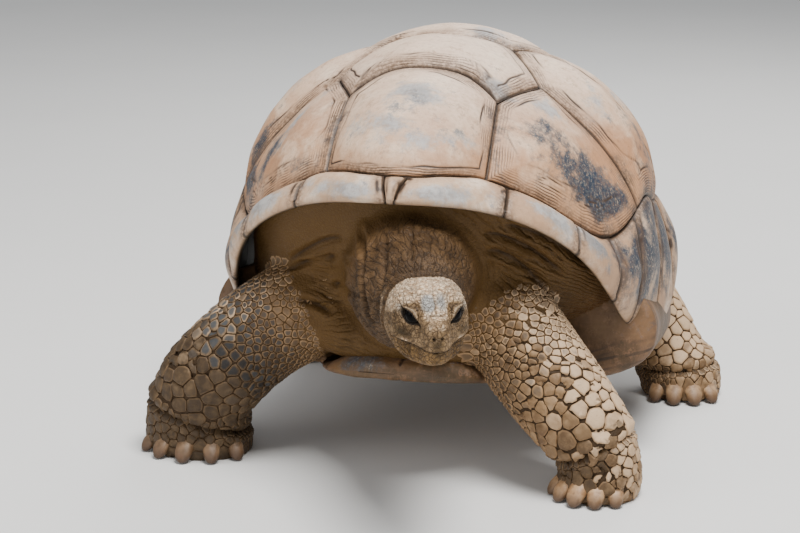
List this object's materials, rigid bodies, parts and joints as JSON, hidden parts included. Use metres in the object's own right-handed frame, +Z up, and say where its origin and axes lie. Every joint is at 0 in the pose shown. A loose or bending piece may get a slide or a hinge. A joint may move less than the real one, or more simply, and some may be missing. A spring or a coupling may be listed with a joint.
{
  "type": "giant tortoise model",
  "caption": "Still life-size model of a walking giant tortoise: domed plated shell, low reaching head, and stout scaly legs with blunt nails.",
  "frame": {"origin": "on the floor, under the middle of the animal's outline", "axes": "+Z up; -Y the way the animal faces; +X the animal's left side"},
  "size_m": [0.9518, 1.2728, 0.7056],
  "materials": {
    "plate": "dry horn, dusty tan-brown with worn blue-grey middles and fine growth ridges",
    "rim": "dry horn, paler and smoother than the plates above it",
    "plastron": "dry horn, ochre brown with grey wear",
    "skin": "dry grey-brown hide with folds and horny scales",
    "face": "fine-scaled hide, tan with blue-grey shields, horny beak",
    "eye": "wet and almost black"
  },
  "bodies": {
    "root": {"trunk": "skin", "vertebral_1": "plate", "vertebral_2": "plate", "vertebral_3": "plate", "vertebral_4": "plate", "vertebral_5": "plate", "costal_left_1": "plate", "costal_left_2": "plate", "costal_left_3": "plate", "costal_left_4": "plate", "marginal_left_1": "rim", "marginal_left_2": "rim", "marginal_left_3": "rim", "marginal_left_4": "rim", "marginal_left_5": "rim", "marginal_left_6": "rim", "marginal_left_7": "rim", "marginal_left_8": "rim", "marginal_left_9": "rim", "marginal_left_10": "rim", "marginal_left_11": "rim", "costal_right_1": "plate", "costal_right_2": "plate", "costal_right_3": "plate", "costal_right_4": "plate", "marginal_right_1": "rim", "marginal_right_2": "rim", "marginal_right_3": "rim", "marginal_right_4": "rim", "marginal_right_5": "rim", "marginal_right_6": "rim", "marginal_right_7": "rim", "marginal_right_8": "rim", "marginal_right_9": "rim", "marginal_right_10": "rim", "marginal_right_11": "rim", "nuchal": "rim", "supracaudal": "rim", "plastron": "plastron", "head": "face", "lower_jaw": "face", "eye_left": "eye", "eye_right": "eye", "neck": "skin", "foreleg_right": "skin", "foreleg_left": "skin", "hindleg_right": "skin", "hindleg_left": "skin", "tail": "skin"}
  },
  "joints": []
}
